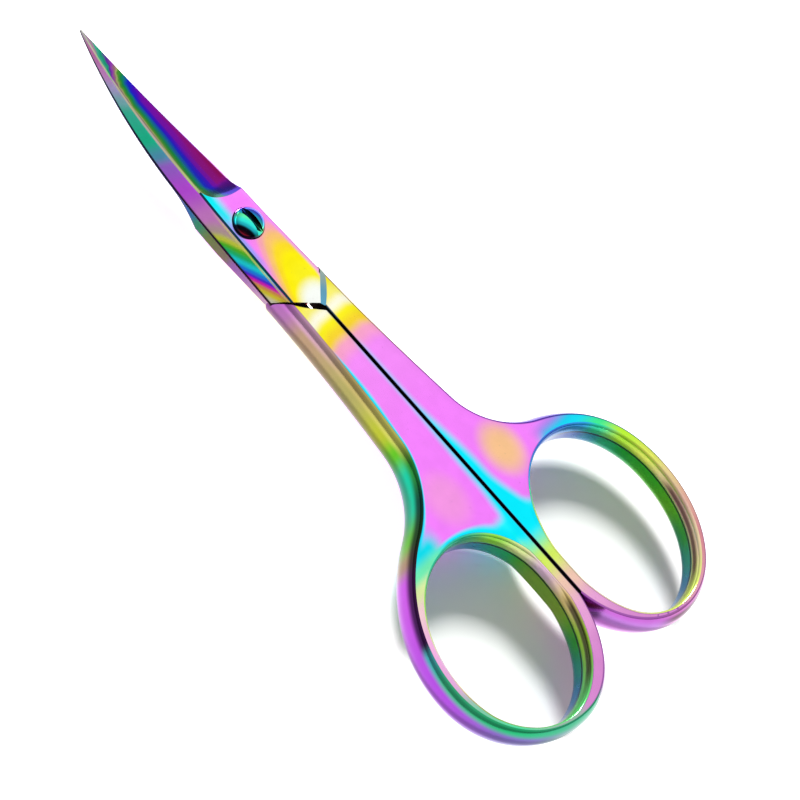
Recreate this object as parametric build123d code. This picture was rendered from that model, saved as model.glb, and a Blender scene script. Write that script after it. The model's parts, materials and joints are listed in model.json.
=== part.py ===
from build123d import *
from math import sqrt
import os

# Curved cuticle scissors, closed.  Millimetres.
# While it is being modelled the pivot is the origin, the shear plane is z = 0, the tips point
# along +X and the screw head is on top.  The finished pieces are moved so that the
# origin is the centre of the closed scissors' footprint, on the plane the handles rest on.

# Driving dimensions
LENGTH = 90.0                     # tips to the end of the longer loop
TIP_X = 0.3 * LENGTH              # pivot to tips
BLOCK_T = 1.75                    # thickness of one half at the pivot
HANDLE_T = 4.5                    # thickness of a shank, web or ring
SLIT = 0.2                        # gap between the closed handles
FACE_GAP = 0.1                    # gap between the two inner faces
SCREW_R = 1.3                     # bearing part of the pivot screw
RUN_CLEARANCE = 0.05              # radial, screw in the upper half

# Worked out from them
HALF_T = HANDLE_T / 2
HEAD_R = 1.4 * SCREW_R            # round slotted head
HEAD_H = 1.0 * SCREW_R            # its height above the block
THREAD_R = 0.85 * SCREW_R
SIDE_BULGE = 0.19 * HANDLE_T      # how far a shank's outer side swells past its flat top
SLIT_SWELL = 0.4                  # share of that swell where a loop meets the slit
CURVE_START = TIP_X / 3           # where the blades begin to curve up
CURVE_R = 0.8 * LENGTH            # radius of that curve
EDGE_T = 0.12                     # thickness left along the cutting edge
EDGE_R = 0.15                     # softened corners
FACET_START = 0.12                # slope between the block and the handle top
FACET_RUN = 0.55
BLADE_ROOT = 3.0                  # the blades start to taper here
BEVEL_START = 3.35                # the hollow bevel's first bite, at the cutting edge
BEVEL_RUN = 2.9                   # length of its curved plunge line
PLUNGE_R = 1.6                    # rounding at the foot of the plunge
ARM_X = 8.1                       # the V's closed arm reaches the outside here
V_X = -11.3                       # point of the block's V-shaped end
V_ALONG = (-0.698, 0.716, 0)      # along the V's closed arm
V_BACK = (-0.716, -0.698, 0)      # square to it, towards the handle
V_UNDERCUT = 0.8                  # how far forward the open arm leans at the shear plane
HEAD_SINK = 0.2                   # how far the screw head sits into its seat
PEEN_R = 1.1 * SCREW_R            # spread end of the screw
SLOT_W = 0.6 * SCREW_R


def rise(x):
    """Height the blade curve has gained at x."""
    run = max(0.0, x - CURVE_START)
    return CURVE_R - sqrt(CURVE_R ** 2 - run ** 2)


def bezier(points, t):
    """Point at t on a cubic Bezier curve."""
    a, b, c, d = points
    s = 1 - t
    return tuple(
        s ** 3 * a[i] + 3 * s * s * t * b[i] + 3 * s * t * t * c[i] + t ** 3 * d[i]
        for i in range(2)
    )


def half_width(x):
    """Half the width of the closed blades at the shear plane."""
    root_w = 3.3
    if x <= BLADE_ROOT:
        return root_w + 0.03 * (BLADE_ROOT - x)
    curve = ((BLADE_ROOT, root_w), (BLADE_ROOT + 8, root_w - 0.4), (20.0, 1.65), (TIP_X, 0.08))
    low, high = 0.0, 1.0
    for _ in range(40):
        mid = (low + high) / 2
        if bezier(curve, mid)[0] < x:
            low = mid
        else:
            high = mid
    return bezier(curve, low)[1]


def thickness(x):
    """Thickness of one blade at its ridge."""
    start = 5.0
    if x <= start:
        return BLOCK_T
    return 0.15 + (BLOCK_T - 0.15) * (1 - ((x - start) / (TIP_X - start)) ** 1.5)


def ridge_y(x):
    """The line where the spine's slope meets the block's top or the hollow bevel."""
    return half_width(x) - 0.62 * thickness(x)


def section_wire(x, points):
    """Closed outline of (y, z) points standing across the blade at x."""
    return Wire((Plane.YZ.offset(x) * Polyline(*points, close=True)).edges())


def side_widths(shape, x):
    """Cutting-edge side of the block: distance out at its top edge and at the shear plane."""
    share = max(0.0, min(1.0, -x / ARM_X))
    scale = min(1.0, half_width(x) / half_width(0))
    top = shape["side_top"][0] * (1 - share) + shape["side_top"][1] * share
    low = shape["side_low"][0] * (1 - share) + shape["side_low"][1] * share
    return top * scale, low * scale


def blank_section(x, shape):
    """Cross-section of one half before its hollow bevel is ground."""
    base = shape["bend"] * rise(x)
    low = base + FACE_GAP / 2
    top = base + thickness(x)
    side_top, side_low = side_widths(shape, x)
    points = [(-side_low, low), (-side_top, top), (ridge_y(x), top), (half_width(x), low)]
    return section_wire(x, points)


def blade_blank(shape):
    """Block and blade: straight to the blade root, then curved."""
    straight = (-13.0, -ARM_X, 0.0, BLADE_ROOT)
    block = Solid.make_loft([blank_section(x, shape) for x in straight], ruled=True)
    step = (TIP_X - BLADE_ROOT) / 8
    stations = [BLADE_ROOT + i * step for i in range(9)]
    blade = Solid.make_loft([blank_section(x, shape) for x in stations])
    return block + blade


def hollow_section(x, shape):
    """Area ground away at x: a shallow hollow from the ridge down to the cutting edge."""
    base = shape["bend"] * rise(x)
    top = base + thickness(x)
    edge = base + FACE_GAP / 2 + EDGE_T
    inner, outer = ridge_y(x) + 0.2, -side_widths(shape, x)[1] - 0.8
    high = max(top, base + BLOCK_T) + 1.5
    middle = ((inner + outer) / 2 + 0.3, (top + edge) / 2 - 0.08 * (top - edge))
    plane = Plane.YZ.offset(x)
    lines = [
        plane * ThreePointArc((inner, top - 0.05), middle, (outer, edge - 0.08)),
        plane * Line((outer, edge - 0.08), (outer, high)),
        plane * Line((outer, high), (inner, high)),
        plane * Line((inner, high), (inner, top - 0.05)),
    ]
    return Wire([line.edge() for line in lines])


def bevel_cutter(shape):
    """The hollow bevel, starting at a rounded plunge line ahead of the screw."""
    step = (TIP_X + 1 - BEVEL_START) / 9
    stations = [BEVEL_START - 1 + i * step for i in range(11)]
    hollow = Solid.make_loft([hollow_section(x, shape) for x in stations])
    low_y = -side_widths(shape, BEVEL_START)[0]
    high_y = ridge_y(BEVEL_START) + 0.28
    line = EllipticalCenterArc((BEVEL_START + BEVEL_RUN, low_y), BEVEL_RUN, high_y - low_y,
                               start_angle=90, arc_size=90)
    first, last = line.edge() @ 0, line.edge() @ 1
    far = Polyline((last.X, last.Y), (last.X, -8), (TIP_X + 9, -8), (TIP_X + 9, first.Y),
                   (first.X, first.Y))
    ahead = extrude(make_face([line.edge()] + list(far.edges())), amount=8, both=True)
    cutter = hollow & ahead
    foot = [e for e in cutter.edges()
            if e.bounding_box().max.X < first.X + 1 and e.bounding_box().size.Y > 3
            and e.bounding_box().max.Z < BLOCK_T + 0.5 and e.bounding_box().size.X > 1]
    return fillet(foot, PLUNGE_R)


def quarter(a, b, corner, fullness):
    """Quarter of an oval from a to b, pulled towards the corner of its box."""
    p = tuple(a[i] + fullness * (corner[i] - a[i]) for i in range(2))
    q = tuple(b[i] + fullness * (corner[i] - b[i]) for i in range(2))
    return (a, p, q, b)


def curve_edges(curves, z):
    """Bezier edges at height z, mirrored to the -Y side where the handle lies."""
    return [Bezier(*[(x, -y, z) for x, y in c]).edge() for c in curves]


def hole_wire(shape, grow, z):
    """Finger opening: four quarters through its front, side, back and slit-side points."""
    (fx, fy), (sx, sy), (bx, by), (lx, ly) = shape["hole"]
    front, side, back, slit = (fx + grow, fy), (sx, sy + grow), (bx - grow, by), (lx, ly - grow)
    k = 0.57
    curves = [
        quarter(front, side, (front[0], side[1]), k),
        quarter(side, back, (back[0], side[1]), k),
        quarter(back, slit, (back[0], slit[1]), k),
        quarter(slit, front, (front[0], slit[1]), k),
    ]
    return Wire(curve_edges(curves, z))


def plate_wire(shape, inset, z):
    """Outside of shank, web and ring at height z, closed across the slit."""
    (nx, ny), (wx, wy), (dx, dy) = shape["neck"], shape["web"], shape["web_way"]
    (sx, sy), (bx, by), (lx, ly) = shape["ring_side"], shape["ring_back"], shape["ring_slit"]
    root = (-6.0, shape["root_y"] - inset)
    neck = (nx, ny - inset)
    web = (wx - dy * inset, wy + dx * inset)
    side, back, slit = (sx, sy - inset), (bx + inset, by), (lx, ly + SLIT_SWELL * inset)
    k = 0.56
    curves = [
        (root, (root[0] - 7, root[1]), (neck[0] + 7, neck[1] - 0.8), neck),
        (neck, (neck[0] - 4.0, neck[1] + 0.45), (web[0] - 3.2 * dx, web[1] - 3.2 * dy), web),
        (web, (web[0] + 6 * dx, web[1] + 6 * dy), (side[0] + 6.6, side[1]), side),
        quarter(side, back, (back[0], side[1]), k),
        quarter(back, slit, (back[0], slit[1]), k),
    ]
    corner = (root[0], -2.0)
    below = (slit[0], -2.0)
    edges = curve_edges(curves, z)
    for a, b in ((slit, below), (below, corner), (corner, root)):
        edges.append(Line((a[0], -a[1], z), (b[0], -b[1], z)).edge())
    return Wire(edges)


def handle_plate(shape):
    """Shank, web and ring: flat faces, a swelling outer side and an open ring."""
    radius = (HALF_T ** 2 + SIDE_BULGE ** 2) / (2 * SIDE_BULGE)
    corner = HALF_T - EDGE_R

    def inset(z):
        return radius - sqrt(radius ** 2 - z * z)

    levels = [corner * f for f in (-1.0, -0.5, 0.0, 0.5, 1.0)]
    plate = Solid.make_loft([plate_wire(shape, inset(z), z) for z in levels])
    for end in (-1, 1):
        soft = [plate_wire(shape, inset(corner), end * corner),
                plate_wire(shape, inset(HALF_T) + 0.6 * EDGE_R, end * HALF_T)]
        plate = plate + Solid.make_loft(soft, ruled=True)
    slit_side = Box(80, 10, 10, align=(Align.CENTER, Align.MIN, Align.CENTER))
    plate = plate - Pos(-40, -SLIT / 2, 0) * slit_side
    walls = [(-1.0, 0.55), (-0.8, 0.16), (-0.4, 0.03), (0.0, 0.0), (0.4, 0.03), (0.8, 0.16),
             (1.0, 0.55)]
    hole = Solid.make_loft([hole_wire(shape, grow, HALF_T * f) for f, grow in walls])
    return plate - hole


def behind_arm():
    """Wedge over the slope that climbs from the block's V-shaped end to the handle top."""
    across = Plane(origin=(V_X, 0, 0), x_dir=V_BACK, z_dir=V_ALONG)
    step = HALF_T - BLOCK_T
    profile = Polyline((-8, BLOCK_T), (FACET_START, BLOCK_T), (FACET_START + FACET_RUN, HALF_T),
                       (FACET_START + 2 * FACET_RUN, HALF_T + step), (-8, HALF_T + step),
                       close=True)
    return extrude(across * make_face(profile), amount=12, both=True)


def in_front_of_arm():
    """Everything ahead of the V's closed arm, above the shear plane."""
    across = Plane(origin=(V_X, 0, 0), x_dir=V_BACK, z_dir=V_ALONG)
    profile = Polyline((-12, 0), (0, 0), (0, 4), (-12, 4), close=True)
    return extrude(across * make_face(profile), amount=14, both=True)


def tongue_space():
    """Room under the handle for the other half's block, with a curved end wall."""
    curve = Bezier((-12.9, 0.4), (-11.0, -1.7), (-10.2, -3.6), (-6.0, -4.3))
    rim = Polyline((-6.0, -4.3), (-6.0, -4.8), (6, -4.8), (6, 0.4), (-12.9, 0.4))
    face = make_face([curve.edge()] + list(rim.edges()))
    return Pos(0, 0, FACE_GAP / 2) * extrude(face, amount=-4)


def behind_v():
    """Everything behind the V's open arm, undercut towards the shear plane."""
    def outline(z, forward):
        x = V_X + forward
        return Wire(Polyline((x, -SLIT / 2, z), (x + 0.756 * 6, 6, z), (-16, 6, z),
                             (-16, -SLIT / 2, z), close=True).edges())
    return Solid.make_loft([outline(-0.1, V_UNDERCUT), outline(BLOCK_T + 0.5, -0.25)], ruled=True)


def half(shape):
    """One forging, drawn as the half that lies on top with its handle on the -Y side."""
    block = blade_blank(shape) - bevel_cutter(shape) - behind_v()
    plate = handle_plate(shape)
    over = Box(80, 60, 5, align=(Align.CENTER, Align.CENTER, Align.MIN))
    over = Pos(0, 0, FACE_GAP / 2) * over
    plate = plate - behind_arm() - (in_front_of_arm() & over) - tongue_space()
    return (block + plate).solid()


# What differs between the two halves.  "bend" is +1 for blades that curve away from the
# other half.  Widths and outline points are (x, distance from the slit's centre line).
UPPER = {
    "bend": 1, "side_top": (2.55, 2.95), "side_low": (3.1, 3.46),
    "root_y": 3.48, "neck": (-27.9, 5.15), "web": (-35.3, 11.3), "web_way": (-0.34, 0.94),
    "ring_side": (-48.7, 20.4), "ring_back": (-62.05, 9.75), "ring_slit": (-49.5, -0.5),
    "hole": ((-38.2, 10.2), (-48.4, 18.7), (-60.5, 9.3), (-49.4, 1.6)),
}
LOWER = {
    "bend": -1, "side_top": (3.3, 3.0), "side_low": (3.45, 3.73),
    "root_y": 3.75, "neck": (-27.75, 5.05), "web": (-35.85, 10.85), "web_way": (-0.49, 0.87),
    "ring_side": (-51.1, 20.75), "ring_back": (-62.6, 9.1), "ring_slit": (-49.1, -0.5),
    "hole": ((-39.65, 8.8), (-51.3, 18.85), (-60.85, 11.1), (-48.4, 1.4)),
}


def bore(radius, low, high):
    """Round cutter on the pivot's axis from one height to another."""
    cutter = Cylinder(radius, high - low, align=(Align.CENTER, Align.CENTER, Align.MIN))
    return Pos(0, 0, low) * cutter


def upper_half():
    """The half on top: it turns on the screw's bearing part, under its sunk head."""
    body = half(UPPER)
    body = body - bore(SCREW_R + RUN_CLEARANCE, -1, BLOCK_T + 1)
    body = body - bore(HEAD_R + 0.08, BLOCK_T - HEAD_SINK - RUN_CLEARANCE, BLOCK_T + 3)
    return body.solid()


def lower_half():
    """The half underneath: the screw's thin end is spread in its countersink."""
    body = Rot(180, 0, 0) * half(LOWER)
    body = body - bore(THREAD_R - 0.04, -BLOCK_T - 1, 1)
    sink = Pos(0, 0, -BLOCK_T + 0.2) * Cone(PEEN_R, THREAD_R, 0.4)
    return (body - sink).solid()


def pivot_screw():
    """Slotted dome head, bearing shank, thinner threaded end spread over the lower half."""
    under = BLOCK_T - HEAD_SINK
    side = Line((HEAD_R, under), (HEAD_R, BLOCK_T))
    dome = EllipticalCenterArc((0, BLOCK_T), HEAD_R, HEAD_H, start_angle=0, arc_size=90)
    rest = Polyline((0, BLOCK_T + HEAD_H), (0, -BLOCK_T - 0.1), (PEEN_R * 0.7, -BLOCK_T - 0.1),
                    (PEEN_R, -BLOCK_T), (THREAD_R, -BLOCK_T + 0.4), (THREAD_R, -0.02),
                    (SCREW_R, 0.02), (SCREW_R, under), (HEAD_R, under))
    face = make_face(Plane.XZ * (side + dome + rest))
    body = revolve(face, Axis.Z)
    slot = Box(4 * HEAD_R, SLOT_W, HEAD_H, align=(Align.CENTER, Align.CENTER, Align.MIN))
    return (body - Pos(0, 0, BLOCK_T + 0.3 * HEAD_H) * slot).solid()


pieces = {"upper_half": upper_half(), "lower_half": lower_half(), "pivot_screw": pivot_screw()}
boxes = [piece.bounding_box() for piece in pieces.values()]
low_x, high_x = min(b.min.X for b in boxes), max(b.max.X for b in boxes)
low_y, high_y = min(b.min.Y for b in boxes), max(b.max.Y for b in boxes)
low_z = min(b.min.Z for b in boxes)
to_origin = Pos(-(low_x + high_x) / 2, -(low_y + high_y) / 2, -low_z)

os.makedirs("parts", exist_ok=True)
for name, piece in pieces.items():
    export_step(to_origin * piece, f"parts/{name}.step")
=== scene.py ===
import json
from math import cos, pi, radians, sin, sqrt

import bmesh
import bpy
import numpy as np
from mathutils import Matrix, Vector
from mathutils.geometry import delaunay_2d_cdt


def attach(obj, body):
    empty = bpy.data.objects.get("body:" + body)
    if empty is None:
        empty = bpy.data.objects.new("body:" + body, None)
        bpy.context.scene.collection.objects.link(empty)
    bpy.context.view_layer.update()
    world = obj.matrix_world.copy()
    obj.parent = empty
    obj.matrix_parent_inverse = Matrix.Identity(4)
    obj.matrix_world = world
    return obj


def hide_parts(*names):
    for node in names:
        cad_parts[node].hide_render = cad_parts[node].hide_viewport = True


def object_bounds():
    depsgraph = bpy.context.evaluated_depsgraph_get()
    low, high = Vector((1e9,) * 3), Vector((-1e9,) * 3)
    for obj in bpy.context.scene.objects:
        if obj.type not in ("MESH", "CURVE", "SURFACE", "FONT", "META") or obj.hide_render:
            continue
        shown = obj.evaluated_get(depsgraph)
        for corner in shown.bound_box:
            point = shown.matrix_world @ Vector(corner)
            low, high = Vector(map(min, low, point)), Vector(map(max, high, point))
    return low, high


# Curved cuticle scissors with a rainbow interference coating, lying closed on a pale floor.
# The two forgings and the screw are remodelled here as fine, evenly meshed surfaces with
# softened edges and slightly crowned faces, to the sizes of the CAD nodes they stand for.
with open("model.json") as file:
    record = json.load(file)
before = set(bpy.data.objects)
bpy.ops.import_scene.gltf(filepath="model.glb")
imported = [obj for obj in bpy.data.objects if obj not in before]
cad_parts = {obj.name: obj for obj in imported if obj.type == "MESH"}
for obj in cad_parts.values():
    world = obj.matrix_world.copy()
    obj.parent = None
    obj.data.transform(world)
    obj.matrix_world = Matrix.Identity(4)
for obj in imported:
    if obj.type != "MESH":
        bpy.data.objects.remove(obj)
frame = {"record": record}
cad_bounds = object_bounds()

MM = 0.001
CAD_HIGH = Vector(cad_bounds[1])
PIVOT = Vector(frame["record"]["behaviour"]["joints"][0]["pos_m"])

# Sizes in millimetres, in the pivot's frame: the pivot is the origin, the blades meet in
# z = 0, the tips point along +X and the screw head is on top.
TIP_X = (CAD_HIGH.x - PIVOT.x) / MM
FLOOR_DROP = 2.5  # the floor lies this far under the scissors
HALF_T = PIVOT.z / MM  # half the thickness of a shank, web or loop
BLOCK_T = 1.75  # thickness of one half at the pivot
SLIT = 0.2  # gap between the closed handles
FACE_GAP = 0.1  # gap between the two inner faces
SCREW_R = 1.3  # bearing part of the screw
HEAD_R = 1.4 * SCREW_R
HEAD_H = 1.0 * SCREW_R
HEAD_SINK = 0.2
BORE_GAP = 0.05  # room round the screw's shank and under its head
HEAD_GAP = 0.08  # and round the head
SLOT_W = 0.6 * SCREW_R
THIN = 0.85  # share of the bearing radius left in the lower half
SIDE_BULGE = 0.38 * HALF_T  # how far a shank's outer side swells
SLIT_SWELL = 0.4  # share of that swell where a loop meets the slit
LOOP_FLARE = 0.45  # how far a finger opening widens at its rims
CROWN = 0.10  # how far a flat face falls towards its rim
CROWN_W = 1.7  # over this distance
CAP_ROWS = (0.22, 0.5, 0.85, 1.3)  # a flat face has rows of points this far inside its borders,
CAP_GRID = 1.55  # and a grid from here on
CAP_STEP = 0.55
ROUND = 0.12  # softened edges
CURVE_START = TIP_X / 3
CURVE_R = 72.0
EDGE_T = 0.12  # thickness left along a cutting edge
BLADE_ROOT = 3.0
PLUNGE_X = 3.35  # the hollow bevel starts here, at the cutting edge
PLUNGE_RUN = 2.9
PLUNGE_W = 1.6  # how far its starting slope runs, at the ridge
PLUNGE_END = 8.0
BLOCK_END = -13.0
ARM_X = 8.1  # the V's closed arm reaches the outside this far behind the pivot
TUCK = 0.18  # behind that arm the block steps in by this much
TUCK_RUN = 1.2  # over this distance
V_X = -11.3  # point of the block's V-shaped end
FACET_START = 0.12  # the facet above the block starts this far behind the V
FACET_RUN = 0.55
V_BACK = Vector((-0.716, -0.698, 0))  # square to the V's closed arm
OPEN_ARM = 0.756  # how far forward the V's open arm runs per mm outwards
SPINE_SLOPE = 0.62  # width of the spine's slope, in blade thicknesses
HOLLOW = 0.32  # depth of the hollow bevel, as a share of its height
SHARP = radians(26)  # surfaces that meet at more than this stay sharp

# Each half is drawn as the one that lies on top. bend is the way its blade curves, and plunge is
# how far the bevel's starting slope runs at the cutting edge. side_top and side_low are the
# block's width at its top edge and where the halves meet, at the pivot and at the V's closed arm.
# The rest are points of the handle's outline, with its direction at the web, and of the finger
# opening's: front, outer, rear and slit.
UPPER = {
    "bend": 1, "plunge": 2.6, "side_top": (2.55, 2.95), "side_low": (3.1, 3.46),
    "root_y": 3.48, "neck": (-27.9, 5.15), "web": (-35.3, 11.3), "web_way": (-0.34, 0.94),
    "ring_side": (-48.7, 20.4), "ring_back": (-62.05, 9.75), "ring_slit": (-49.5, -0.5),
    "hole": ((-38.2, 10.2), (-48.4, 18.7), (-60.5, 9.3), (-49.4, 1.6)),
}
LOWER = {
    "bend": -1, "plunge": 5.0, "side_top": (3.3, 3.0), "side_low": (3.45, 3.73),
    "root_y": 3.75, "neck": (-27.75, 5.05), "web": (-35.85, 10.85), "web_way": (-0.49, 0.87),
    "ring_side": (-51.1, 20.75), "ring_back": (-62.6, 9.1), "ring_slit": (-49.1, -0.5),
    "hole": ((-39.65, 8.8), (-51.3, 18.85), (-60.85, 11.1), (-48.4, 1.4)),
}

# Surface zones: each has its own material, so each forging has these slots in this order.
ZONES = ("block_top", "spine", "bevel", "inner_face", "flat", "side", "loop_wall", "cut", "facet",
         "edge_side")
ZONE = {name: i for i, name in enumerate(ZONES)}


# -------- shape formulas

def rise(x):
    """Height the blade curve has gained at x."""
    run = max(0.0, x - CURVE_START)
    return CURVE_R - sqrt(CURVE_R ** 2 - run ** 2)


def bezier(points, t):
    """Point at t on a cubic Bezier curve in the plane."""
    a, b, c, d = points
    s = 1 - t
    return tuple(s ** 3 * a[i] + 3 * s * s * t * b[i] + 3 * s * t * t * c[i] + t ** 3 * d[i]
                 for i in range(2))


def bisect(before, low=0.0):
    """Where before(t) stops being true, between low and 1."""
    high = 1.0
    for _ in range(40):
        mid = (low + high) / 2
        if before(mid):
            low = mid
        else:
            high = mid
    return low


def half_width(x):
    """Half the width of the closed blades where they meet."""
    root_w = 3.3
    if x <= BLADE_ROOT:
        return root_w + 0.03 * (BLADE_ROOT - x)
    curve = ((BLADE_ROOT, root_w), (BLADE_ROOT + 8, root_w - 0.4), (20.0, 1.65), (TIP_X, 0.08))
    return bezier(curve, bisect(lambda t: bezier(curve, t)[0] < x))[1]


def thickness(x):
    """Thickness of one blade at its ridge."""
    start, tip = 5.0, 0.15
    if x <= start:
        return BLOCK_T
    return tip + (BLOCK_T - tip) * (1 - ((x - start) / (TIP_X - start)) ** 1.5)


def ridge_y(x):
    """The line where the spine's slope meets the block's top or the hollow bevel."""
    return half_width(x) - SPINE_SLOPE * thickness(x)


def smooth(t):
    """Smooth step from 0 to 1."""
    t = max(0.0, min(1.0, t))
    return t * t * (3 - 2 * t)


def side_widths(shape, x):
    """Cutting-edge side of the block: distance out at its top edge and where the halves meet."""
    share = max(0.0, min(1.0, -x / ARM_X))
    scale = min(1.0, half_width(x) / half_width(0))
    tuck = TUCK * smooth((-x - ARM_X - 0.3) / TUCK_RUN)
    top = shape["side_top"][0] * (1 - share) + shape["side_top"][1] * share
    low = shape["side_low"][0] * (1 - share) + shape["side_low"][1] * share
    return top * scale - tuck, low * scale - tuck


def plunge_x(v):
    """Where the hollow bevel starts, v of the way from the cutting edge to the ridge."""
    return PLUNGE_X + PLUNGE_RUN * (1 - sqrt(1 - (0.985 * v) ** 2))


def hollow_z(shape, x, y):
    """Height of the hollow-ground bevel. Its curve runs on past the ridge and the edge."""
    past_ridge, under_ridge, past_edge, under_edge = 0.05, 0.03, 0.8, 0.08
    base = shape["bend"] * rise(x)
    top = base + thickness(x) - under_ridge
    edge = base + FACE_GAP / 2 + EDGE_T - under_edge
    inner, outer = ridge_y(x) + past_ridge, -side_widths(shape, x)[1] - past_edge
    t = (y - outer) / (inner - outer)
    return edge + t * (top - edge) - HOLLOW * (top - edge) * t * (1 - t)


# -------- mesh helpers

class Build:
    """A mesh being built in millimetres: each face has a zone, each corner film coordinates."""

    def __init__(self):
        self.bm = bmesh.new()
        self.uv = self.bm.loops.layers.uv.new("film")

    def verts(self, points):
        return [self.bm.verts.new(p) for p in points]

    def face(self, verts, uvs, zone):
        if len(set(verts)) < 3:
            return None
        face = self.bm.faces.new(verts)
        face.material_index = ZONE[zone]
        face.smooth = True
        for loop, uv in zip(face.loops, uvs):
            loop[self.uv].uv = uv
        return face

    def skin(self, rings, uvs, zones, closed=True):
        """Quads between rings of vertices. zones names the strip after each point of a ring.
        A ring may end with one more film coordinate, for where it closes."""
        count = len(rings[0])
        last = count if closed else count - 1
        for i in range(len(rings) - 1):
            for j in range(last):
                k = (j + 1) % count
                quad = [rings[i][j], rings[i][k], rings[i + 1][k], rings[i + 1][j]]
                end = j + 1 if len(uvs[i]) > count else k
                quad_uv = [uvs[i][j], uvs[i][end], uvs[i + 1][end], uvs[i + 1][j]]
                self.face(quad, quad_uv, zones[j])

    def object(self, name, materials):
        bmesh.ops.recalc_face_normals(self.bm, faces=self.bm.faces)
        mesh = bpy.data.meshes.new(name)
        self.bm.to_mesh(mesh)
        self.bm.free()
        for material in materials:
            mesh.materials.append(material)
        obj = bpy.data.objects.new(name, mesh)
        bpy.context.collection.objects.link(obj)
        return obj


def boolean(obj, tool, operation):
    """Cut the tool out of obj, or add it, and keep the result as obj's own mesh."""
    modifier = obj.modifiers.new(operation.lower(), "BOOLEAN")
    modifier.operation = operation
    modifier.solver = "EXACT"
    modifier.object = tool
    graph = bpy.context.evaluated_depsgraph_get()
    mesh = bpy.data.meshes.new_from_object(obj.evaluated_get(graph), depsgraph=graph)
    obj.modifiers.clear()
    old = obj.data
    obj.data = mesh
    bpy.data.meshes.remove(old)
    bpy.data.objects.remove(tool)


def cutter(name, rings, zones, materials, place=None):
    """Solid between two closed rings of points."""
    build = Build()
    rings = [build.verts(ring) for ring in rings]
    uvs = [(0, 0)] * len(zones)
    build.skin(rings, [uvs, uvs], zones)
    for ring in rings:
        build.face(ring, uvs, "cut")
    if place:
        build.bm.transform(place)
    return build.object(name, materials)


def prism(name, outline, low, high, zones, materials, place=None):
    """Cutter with upright sides: a closed outline of (x, y) between two heights."""
    rings = [[(x, y, z) for x, y in outline] for z in (low, high)]
    return cutter(name, rings, zones, materials, place)


def lathe(name, profile, zones, materials, steps=96):
    """Solid of revolution about Z from (radius, z) points, the first and last on the axis."""
    build = Build()
    first = build.verts([(0, 0, profile[0][1])])[0]
    last = build.verts([(0, 0, profile[-1][1])])[0]
    turn = [2 * pi * k / steps for k in range(steps)]
    rings = [build.verts([(r * cos(a), r * sin(a), z) for a in turn]) for r, z in profile[1:-1]]
    for i in range(len(rings) - 1):
        uvs = [[(profile[i + 1][0], profile[i + 1][1])] * steps,
               [(profile[i + 2][0], profile[i + 2][1])] * steps]
        build.skin([rings[i], rings[i + 1]], uvs, [zones[i + 1]] * steps)
    for tip, ring, zone in ((first, rings[0], zones[0]), (last, rings[-1], zones[-1])):
        for k in range(steps):
            build.face([tip, ring[k], ring[(k + 1) % steps]], [(0, tip.co.z)] * 3, zone)
    return build.object(name, materials)


# -------- block and blade

def blade_ring(shape, x_of, v_count=28):
    """Points round the blade for one station, with film coordinates and zones."""
    def section(v):
        x = x_of(v)
        base = shape["bend"] * rise(x)
        return x, base, base + FACE_GAP / 2, base + thickness(x), *side_widths(shape, x)

    points, uvs, zones = [], [], []

    def add(x, y, z, v, zone):
        points.append((x, y, z))
        uvs.append((x, v))
        zones.append(zone)

    def top_z(x, y, v, top):
        run = (x - plunge_x(v)) / (PLUNGE_W + (shape["plunge"] - PLUNGE_W) * (1 - v) ** 2)
        if run <= 0:
            return top
        blend = 1 - (1 - min(1.0, run)) ** 2
        return top - blend * (top - hollow_z(shape, x, y))

    # inner face, from the spine's foot to the cutting edge
    for k in range(8):
        v = 1 - k / 8
        x, base, low, top, side_top, side_low = section(v)
        add(x, -side_low + (half_width(x) + side_low) * v, low, v, "inner_face")
    # side wall, up to the block's top edge or to the lower edge that grinding leaves
    x, base, low, top, side_top, side_low = section(0.0)
    crest = top_z(x, -side_top, 0.0, top)
    crest = top_z(x, -side_low + (side_low - side_top) * (crest - low) / (top - low), 0.0, top)
    reach = -side_low + (side_low - side_top) * (crest - low) / (top - low)
    soft = min(ROUND, 0.4 * (crest - low))
    add(x, -side_low, low, 0.0, "edge_side")
    add(x, -side_low + (reach + side_low) * 0.5, low + (crest - low) * 0.5, 0.0, "edge_side")
    slope = (reach + side_low) / (crest - low)
    add(x, reach - soft * slope, crest - soft, 0.0, "block_top")
    add(x, reach + 0.07 * soft, crest - 0.35 * soft, 0.0, "block_top")
    # top or hollow bevel, up to the ridge
    edge_in = reach + 0.8 * soft
    for k in range(v_count + 1):
        v = k / v_count
        x, base, low, top, side_top, side_low = section(v)
        ridge = ridge_y(x)
        soft_r = min(ROUND, 0.35 * thickness(x))
        y = edge_in + (ridge - soft_r - edge_in) * v
        add(x, y, top_z(x, y, v, top) - (0.04 * soft if k == 0 else 0), v, "block_top")
    # spine's slope down to its foot
    width = half_width(x)
    crest = points[-1][2]
    for share in (0.06, 0.14, 0.4, 0.7):
        y = ridge + (width - ridge) * share
        z = low + (crest - low) * (1 - share)
        lift = 0.10 * soft_r if share == 0.06 else 0.0
        add(x, y, z - lift, 1.0 + share, "spine")
    uvs.append((x, 2.0))  # the spine's foot, where the ring closes
    return points, uvs, zones


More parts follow.
